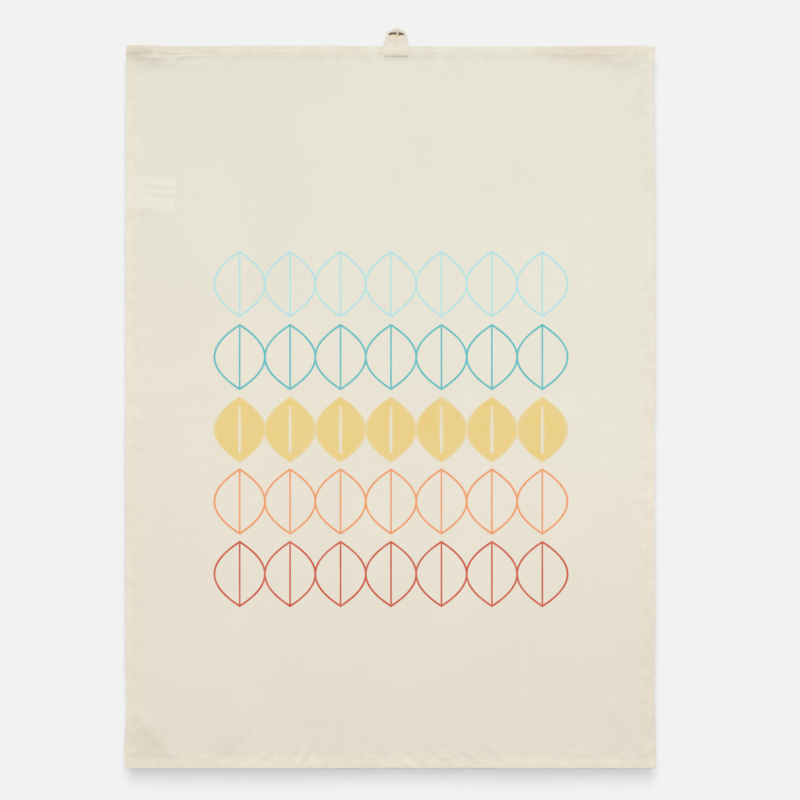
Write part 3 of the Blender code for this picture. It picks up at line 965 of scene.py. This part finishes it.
for level in LEVELS:
    for side in SIDES:
        start, end = half_span(side, STITCH_LINE)
        made = hem_stitches(f"stitching_{level}_{side}", level, start, end)
        bend(made, level)
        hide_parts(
            *[
                f"stitch_{face}_{level}_{column}"
                for face in ("front", "back")
                for column in (side, "centre")
            ],
        )
        if level == "top":
            start, end = HALF + 1.2, TOP - STITCH_LINE - 0.6
        else:
            start, end = BOTTOM + STITCH_LINE + 0.6, HALF - 1.2
        made = hem_stitches(f"stitching_{side}_{level}", side, start, end)
        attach(made, f"{side}_{level}")
        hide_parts(f"stitch_front_{side}_{level}", f"stitch_back_{side}_{level}")

# ---------------------------------------------------------------- print
ROW_LEFT = lo("print_row1_left")[0]
ROW_RIGHT = hi("print_row1_right")[0]
LEAVES, STROKE, RIB = 7, 1.9, 1.6
PITCH = (ROW_RIGHT - ROW_LEFT - STROKE) / LEAVES
REACH = PITCH / 2 + STROKE / 2  # from a leaf's rib to its outermost point
FILLED_ROW = 3
# one ink for each row, from row 1 to row 5
INKS = (
    ("ink_pale_aqua", paint(181, 226, 227)),
    ("ink_teal", paint(90, 190, 195)),
    ("ink_mustard", paint(234, 206, 130)),
    ("ink_orange", paint(240, 157, 101)),
    ("ink_red", paint(206, 86, 60)),
)


def leaf_levels(height, marks):
    """Even heights over a leaf, with those near a mark replaced by the mark."""
    levels = set(np.round(np.linspace(-height, height, 47), 5))
    levels = {z for z in levels if all(abs(z - mark) > 0.5 for mark in marks)}
    return sorted(levels | {round(mark, 5) for mark in marks})


def half_leaf(centre, row_z, height, sign, filled, bank, at_end):
    """Adds half a leaf, from its rib to its outer curve, to bank: points, faces, ink depths.

    A filled leaf is solid but for a slit at its rib; others are a rib and an outline. Ink depth
    runs from 0 at a filled leaf's edge to 1 inside. at_end is for a half at the row's end.
    """
    inner_reach, inner_height = REACH - STROKE, height - STROKE * 1.2
    junction = height * math.sqrt(1 - (PITCH / 2) / REACH)
    limit = REACH if at_end else PITCH / 2
    tip = inner_height * math.sqrt(1 - (RIB / 2) / inner_reach)
    slit = height * 0.72
    marks = (junction, -junction, tip, -tip) + ((slit, -slit) if filled else ())
    points, faces, inside = bank
    rows = []
    for z in leaf_levels(height, marks):
        outer = REACH * max(0.0, 1 - (z / height) ** 2)
        wall = min(outer, limit)
        if filled:
            start = 0.0
            if abs(z) < slit - 1e-4:
                start = RIB / 2 * (1.0 if z < 0 else 1.0 - 0.6 * z / slit)
            start = min(start, wall)
            offsets = [start + (wall - start) * k / 9 for k in range(10)]
            depths = [
                min(1.0, max(0.0, (outer - offset) / 3.2))
                * min(1.0, (offset - start) / 2.0 + (0.0 if start else 1.0))
                for offset in offsets
            ]
        else:
            inner = 0.0
            if abs(z) < inner_height:
                inner = inner_reach * max(0.0, 1 - (z / inner_height) ** 2)
            rib = min(RIB / 2, wall)
            edge = min(max(inner, rib), wall)
            offsets = [0.0, rib, edge, (edge + wall) / 2, wall]
            depths = [1.0] * 5
        row = []
        for offset, depth in zip(offsets, depths):
            key = (round(centre + sign * offset, 4), round(row_z + z, 4))
            if key not in points:
                points[key] = len(points)
                inside.append(depth)
            row.append(points[key])
        rows.append(row)
    for low, high in zip(rows, rows[1:]):
        for i in range(len(low) - 1):
            if not filled and i == 1:  # the bare cloth between rib and outline
                continue
            quad = [low[i], low[i + 1], high[i + 1], high[i]]
            if sign < 0:
                quad.reverse()
            face = [v for j, v in enumerate(quad) if v != quad[j - 1]]
            if len(set(face)) >= 3:
                faces.append(face)


for number, (ink_name, ink_colour) in enumerate(INKS, start=1):
    low, high = lo(f"print_row{number}_centre")[2], hi(f"print_row{number}_centre")[2]
    height = (high - low) / 2
    row_z = low + height
    filled = number == FILLED_ROW
    level = "top" if row_z > HALF else "bottom"
    ink = ink_material(f"{ink_name}_print", ink_colour, soft_edge=filled)
    for side in SIDES:
        bank = ({}, [], [])
        for leaf in range(LEAVES):
            centre = (ROW_LEFT + ROW_RIGHT) / 2 + (leaf - 3) * PITCH
            for sign in (-1, 1):
                on_left = leaf < 3 or (leaf == 3 and sign < 0)
                if on_left == (side == "left"):
                    at_end = (leaf, sign) in ((0, -1), (LEAVES - 1, 1))
                    half_leaf(centre, row_z, height, sign, filled, bank, at_end)
        points, faces, inside = bank
        flat = np.array(list(points))
        skin = FRONT + sheet(flat[:, 0], flat[:, 1])
        name = f"printed_leaves_row{number}_{side}"
        made = film(name, flat, faces, skin - 0.07, skin + 0.03, {"inside": np.array(inside)})
        dress(made, ink)
        bend(made, level)
        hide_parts(f"print_row{number}_{side}", f"print_row{number}_centre")

# ---------------------------------------------------------------- hanging loop
# stations round the tape: inner edge x and z, outer edge x and z
LOOP_STATIONS = (
    # up the left leg to the top
    (-0.20, -23.0, -10.7, -23.0), (-0.20, -19.0, -10.75, -19.0), (-0.20, -15.5, -10.75, -15.5),
    (-0.20, -13.2, -10.7, -13.2), (-0.20, -10.5, -10.5, -10.4), (-0.25, -8.2, -10.25, -7.8),
    (-0.9, -6.9, -10.1, -6.2), (-3.6, -6.2, -9.95, -5.1), (-6.0, -5.2, -9.75, -4.0),
    (-6.8, -3.6, -9.5, -2.7), (-6.8, -2.0, -9.1, -1.3), (-6.4, -0.9, -8.4, -0.2),
    (-5.2, -0.2, -6.5, 0.55), (-3.4, 0.05, -4.3, 1.4), (-1.6, 0.1, -2.6, 2.75),
    (0.0, 0.1, 0.0, 3.25),
    # from the top down the right leg, with its shoulder lower and its crown fuller
    (1.6, 0.1, 2.6, 3.05), (3.4, 0.0, 4.6, 1.9), (5.4, -0.4, 6.9, 0.75),
    (7.0, -1.2, 8.8, -0.1), (7.3, -2.2, 9.4, -1.3), (7.2, -3.7, 9.7, -2.7),
    (6.2, -5.2, 9.85, -4.0), (3.6, -6.2, 9.95, -5.1), (0.9, -6.9, 10.1, -6.2),
    (0.25, -8.2, 10.25, -7.8), (0.20, -10.5, 10.5, -10.4), (0.20, -13.2, 10.7, -13.2),
    (0.20, -15.5, 10.75, -15.5), (0.20, -19.0, 10.75, -19.0), (0.20, -23.0, 10.7, -23.0),
)
LOOP_HALF_THICK = (hi("hang_loop")[1] - lo("hang_loop")[1]) / 2


def spline(points, per):
    """A smooth curve through the points, with per steps between neighbours."""
    out = []
    for i in range(len(points) - 1):
        before, start = points[max(i - 1, 0)], points[i]
        end, after = points[i + 1], points[min(i + 2, len(points) - 1)]
        for k in range(per):
            part = k / per
            linear = 2 * start + (end - before) * part
            square = (2 * before - 5 * start + 4 * end - after) * part * part
            cube = (3 * start - before - 3 * end + after) * part**3
            out.append(0.5 * (linear + square + cube))
    out.append(points[-1])
    return np.array(out)


def loop_ring(inner, outer, index):
    """A rounded, slightly quilted section from the loop's inner edge to its outer edge."""
    width = np.linalg.norm(outer - inner)
    height = (inner[1] + outer[1]) / 2
    lift = -0.85 * smooth(-1.2, 2.2, height)  # the folded top stands forward
    swell = (0.10 + 0.22 * smooth(-9.0, -2.0, height)) * min(1.0, width / 6.0)
    # the front fold of the top hangs lower than the back
    arch = 0.75 + 0.35 * smooth(2.0, 6.4, abs(inner[0])) + 0.25 * smooth(1.0, 6.5, inner[0])
    front, back = [], []
    for part in (k / 8 for k in range(9)):
        x, z = inner + (outer - inner) * part
        rounded = math.sqrt(max(0.0, 1 - (2 * part - 1) ** 8))
        half = LOOP_HALF_THICK * 0.92 * max(0.18, rounded)
        hump = math.sin(math.pi * part)
        wave = swell * hump + 0.05 * math.sin(5.3 * part * math.pi + index * 0.21)
        droop = arch * smooth(-2.2, -0.3, inner[1]) * (1 - part) ** 2
        front.append((x, -(half + wave * 0.9) + lift, z - droop))
        back.append((x, half + 0.12 * hump + lift * 0.4, z))
    return front + back[::-1]


stations = np.array(LOOP_STATIONS)
loop_edges = zip(spline(stations[:, :2], 5), spline(stations[:, 2:], 5))
rings = [loop_ring(inner, outer, i) for i, (inner, outer) in enumerate(loop_edges)]
loop = swept("hanging_loop_tape", rings, stray=False)
dress(loop, tape)
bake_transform(loop)
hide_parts("hang_loop", "loop_tail_left", "loop_tail_right")

# the tape's inner layer leans back behind the opening and leaves a slot under the folded top; its
# upper part is painted dark as shadow
x, z = np.meshgrid(np.linspace(-7.6, 7.9, 33), np.linspace(-12.7, -0.55, 35), indexing="ij")
lean = 0.15 + 1.25 * smooth(-7.5, -1.0, z)
lean += 0.35 * np.cos(x / 7.4 * math.pi / 2) * smooth(-8.0, -3.0, z)
lean += 0.10 * np.sin(x * 1.1 + 0.6)
inner_layer = slab("hanging_loop_inner_layer", x, z, lean, lean + 0.35, stray=False)
dress(inner_layer, tape_inside)
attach(inner_layer, "hang_loop")

# the tape's folded edge, a thin pleat down the middle of the opening, narrowing as it goes
rings = []
for part in (k / 22 for k in range(23)):
    half_wide = 1.05 * (1 - 0.6 * part)
    half_deep = 0.36 * (1 - 0.5 * part)
    centre_x, centre_y, z = 1.30 - 0.75 * part, -0.06, 0.6 - 10.4 * part
    rings.append([
        (centre_x + half_wide * math.cos(angle), centre_y + half_deep * math.sin(angle), z)
        for angle in np.linspace(0, 2 * math.pi, 13)[:-1]
    ])
pleat = swept("hanging_loop_pleat", rings, stray=False)
dress(pleat, tape)
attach(pleat, "hang_loop")


def bar_stitches(name, spots, y, radius):
    """Short stitches at depth y, given as (start x, start z, end x, end z)."""
    verts, faces = [], []
    for start_x, start_z, end_x, end_z in spots:
        faces += bar_faces(len(STITCH_PROFILE), STITCH_SIDES, len(verts))
        run_x, run_z = end_x - start_x, end_z - start_z
        length = math.hypot(run_x, run_z)
        for part, share in STITCH_PROFILE:
            sink = 0.25 * (abs(part) * 2) ** 4
            x, z = start_x + run_x * (part + 0.5), start_z + run_z * (part + 0.5)
            for cos, sin in stitch_circle():
                aside = radius * share * cos
                up = radius * share * sin
                verts.append(
                    (x - run_z / length * aside, y - sink + up, z + run_x / length * aside)
                )
    return make_mesh(name, verts, faces, sharp=70, stray=False)


# two rows across the loop's sewn-in ends, and one stitch down each side
spots = []
for row_z in (-17.0, -20.8):
    for k in range(7):
        start_x = -9.3 + k * 2.7
        spots.append((start_x, row_z, start_x + 2.2, row_z))
spots += [(x, -17.2, x, -20.6) for x in (-9.6, 9.6)]
tack = bar_stitches("loop_tack_stitches", spots, y=LOOP_HALF_THICK + 0.14, radius=0.17)
dress(tack, thread)
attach(tack, "centre_top")
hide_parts("loop_tack_stitch")

# ---------------------------------------------------------------- care label
label_start = LABEL_X0 - LEFT
spread = steps(label_start, label_start + LABEL_W, [(8.0, 16.0, 0.5)], 1.4)
across, down = np.meshgrid(spread, np.linspace(0.0, LABEL_H, 24), indexing="ij")
free = smooth(10.0, 16.0, across)  # 0 where it is sewn in, 1 where it hangs free
x = LEFT + across + (down - LABEL_H / 2) * -math.sin(LABEL_TILT) * free
z = LABEL_Z0 - down - (across - LABEL_PIVOT) * math.sin(LABEL_TILT) * free
# it lifts towards its free end, most of all at the corners
off_middle = np.abs(down / LABEL_H - 0.5) * 2
curl = 0.06 + 0.35 * smooth(18.0, 47.0, across) + 0.9 * smooth(30.0, 47.0, across) * off_middle**3
curl += 0.10 * np.sin(across / 5.1 + 0.8) * smooth(14.0, 26.0, across)
front = BACK + sheet(x, z) + 0.07 + curl * free
label = slab("care_label_ribbon", x, z, front, front + 0.17)
dress(label, satin_label)
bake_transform(label)
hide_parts("care_label", "care_label_tail")

# ---------------------------------------------------------------- studio, in metres
WALL_Y, WALL_TOP, FLOOR_Z, REACH_OUT = 0.0124, 5, -0.86, 6
WALL_GREY, FLOOR_GREY = 0.879, 0.74
BACKDROP_GREY, AMBIENT = 0.887, 0.055


def plane(name, corners):
    mesh = bpy.data.meshes.new(name)
    mesh.from_pydata(corners, [], [(0, 1, 2, 3)])
    made = bpy.data.objects.new(name, mesh)
    bpy.context.scene.collection.objects.link(made)
    return made


ENDS = ((-REACH_OUT, 0), (REACH_OUT, 0), (REACH_OUT, 1), (-REACH_OUT, 1))
wall = plane("studio_wall", [(x, WALL_Y, (FLOOR_Z, WALL_TOP)[end]) for x, end in ENDS])
floor = plane("studio_floor", [(x, (-REACH_OUT, REACH_OUT)[end], FLOOR_Z) for x, end in ENDS])
# the studio's light comes from its lamps alone, with nothing thrown up from the floor
floor.visible_diffuse = False
floor.visible_glossy = False


def matt(name, grey):
    mat = Nodes(name)
    mat.surface({
        "Base Color": (grey, grey, grey),
        "Roughness": 1.0,
        "Specular IOR Level": 0.0,
    })
    return mat


def wall_material():
    """Painted on its front for the camera only, so that it hides nothing seen or lit from behind."""
    mat = matt("studio_wall_paint", WALL_GREY)
    facing = mat.add("ShaderNodeNewGeometry")
    path = mat.add("ShaderNodeLightPath")
    painted = mat.out(path, "Is Camera Ray") * (1.0 - mat.out(facing, "Backfacing"))
    # seen well off square the wall would only show the dark gap behind the cloth: it fades out
    incoming, normal = mat.out(facing, "Incoming"), mat.out(facing, "True Normal")
    square = mat.vector_math("DOT_PRODUCT", incoming, normal, "Value")
    painted = painted * abs(square).ramp(low=0.84, high=0.92)
    # light that has bounced once is stopped, so the rear lamps don't glow round the cloth's edges
    deep = mat.math("GREATER_THAN", mat.out(path, "Diffuse Depth"), 0.5)
    close = mat.math("LESS_THAN", mat.out(path, "Ray Length"), 0.045)
    bounced = mat.out(path, "Is Shadow Ray") * deep * close
    unseen = 1.0 - mat.math("MAXIMUM", painted, bounced)
    black = mat.add("ShaderNodeBsdfDiffuse")
    mat.put((0.0, 0.0, 0.0), black.inputs[0])
    dark = mat.mix_shader(bounced, mat.out(mat.shader), mat.out(black))
    clear = mat.out(mat.add("ShaderNodeBsdfTransparent"))
    output = mat.tree.nodes["Material Output"]
    mat.put(mat.mix_shader(unseen, dark, clear), output.inputs["Surface"])
    return mat.material


wall.data.materials.append(wall_material())
floor.data.materials.append(matt("studio_floor_paint", FLOOR_GREY).material)


def background(tree, grey, strength):
    node = tree.nodes.new("ShaderNodeBackground")
    node.inputs[0].default_value = (grey, grey, grey, 1)
    node.inputs[1].default_value = strength
    return node


# the world lights dimly, and shows the camera a plain backdrop
world = bpy.data.worlds.new("studio_world")
bpy.context.scene.world = world
world.use_nodes = True
tree = world.node_tree
tree.nodes.clear()
output = tree.nodes.new("ShaderNodeOutputWorld")
chooser = tree.nodes.new("ShaderNodeMixShader")
path = tree.nodes.new("ShaderNodeLightPath")
lit = background(tree, 1, AMBIENT)
shown = background(tree, BACKDROP_GREY, 1.0)
tree.links.new(path.outputs["Is Camera Ray"], chooser.inputs[0])
tree.links.new(lit.outputs[0], chooser.inputs[1])
tree.links.new(shown.outputs[0], chooser.inputs[2])
tree.links.new(chooser.outputs[0], output.inputs[0])

# elevation, azimuth from the front (-Y) towards +X, share of the full brightness on a surface
# square to Y, apparent size; angles in degrees
SUNS = (
    ("front_low", 3.0, 0.0, 0.427, 6.0),
    ("front_soft", 11.5, -6.0, 0.114, 9.0),
    ("front_soft_right", 11.5, 7.0, 0.111, 9.0),
    ("front_mid_left", 25.0, -13.0, 0.0445, 15.0),
    ("front_mid_right", 25.0, 13.0, 0.0425, 15.0),
    ("front_high_left", 37.0, -15.0, 0.0365, 13.0),
    ("front_high_right", 37.0, 15.0, 0.0355, 13.0),
    ("front_higher_left", 46.0, -17.0, 0.045, 11.0),
    ("front_higher_right", 46.0, 17.0, 0.043, 11.0),
    ("front_top", 55.5, 0.0, 0.042, 10.0),
    ("front_crown", 60.5, 0.0, 0.015, 6.0),
    ("back_left", 28.0, 215.0, 0.46, 20.0),
    ("back_right", 20.0, 150.0, 0.26, 25.0),
    ("back_top", 62.0, 180.0, 0.20, 20.0),
)


def sun(name, elevation, azimuth, share, size):
    data = bpy.data.lights.new(name, "SUN")
    data.angle = math.radians(size)
    rise, turn = math.radians(elevation), math.radians(azimuth)
    level = math.cos(rise)
    towards = Vector((math.sin(turn) * level, -math.cos(turn) * level, math.sin(rise)))
    data.energy = share / abs(towards.y) * math.pi
    made = bpy.data.objects.new(name, data)
    made.rotation_mode = "QUATERNION"
    made.rotation_quaternion = towards.to_track_quat("Z", "Y")
    bpy.context.scene.collection.objects.link(made)


for name, *settings in SUNS:
    sun(f"studio_{name}", *settings)

# ---------------------------------------------------------------- camera
VIEW_WIDTH = WIDTH / 0.6625  # the cloth takes this share of the view, on the cloth's plane
# the view's centre, right of the left edge and below the top edge, as shares of its width
CENTRE_RIGHT, CENTRE_DOWN = 0.3425, 0.4425

camera_data = bpy.data.cameras.new("camera")
camera_data.lens = 90.0
camera_data.sensor_width = 36.0
camera = bpy.data.objects.new("camera", camera_data)
bpy.context.scene.collection.objects.link(camera)
distance = VIEW_WIDTH * camera_data.lens / camera_data.sensor_width
camera.location = (
    (LEFT + CENTRE_RIGHT * VIEW_WIDTH) * MM,
    (FRONT - distance) * MM,
    (TOP - CENTRE_DOWN * VIEW_WIDTH) * MM,
)
camera.rotation_euler = (math.radians(90), 0, 0)
bpy.context.scene.camera = camera
bpy.context.scene.view_settings.view_transform = "Standard"
bpy.context.scene.view_settings.look = "None"
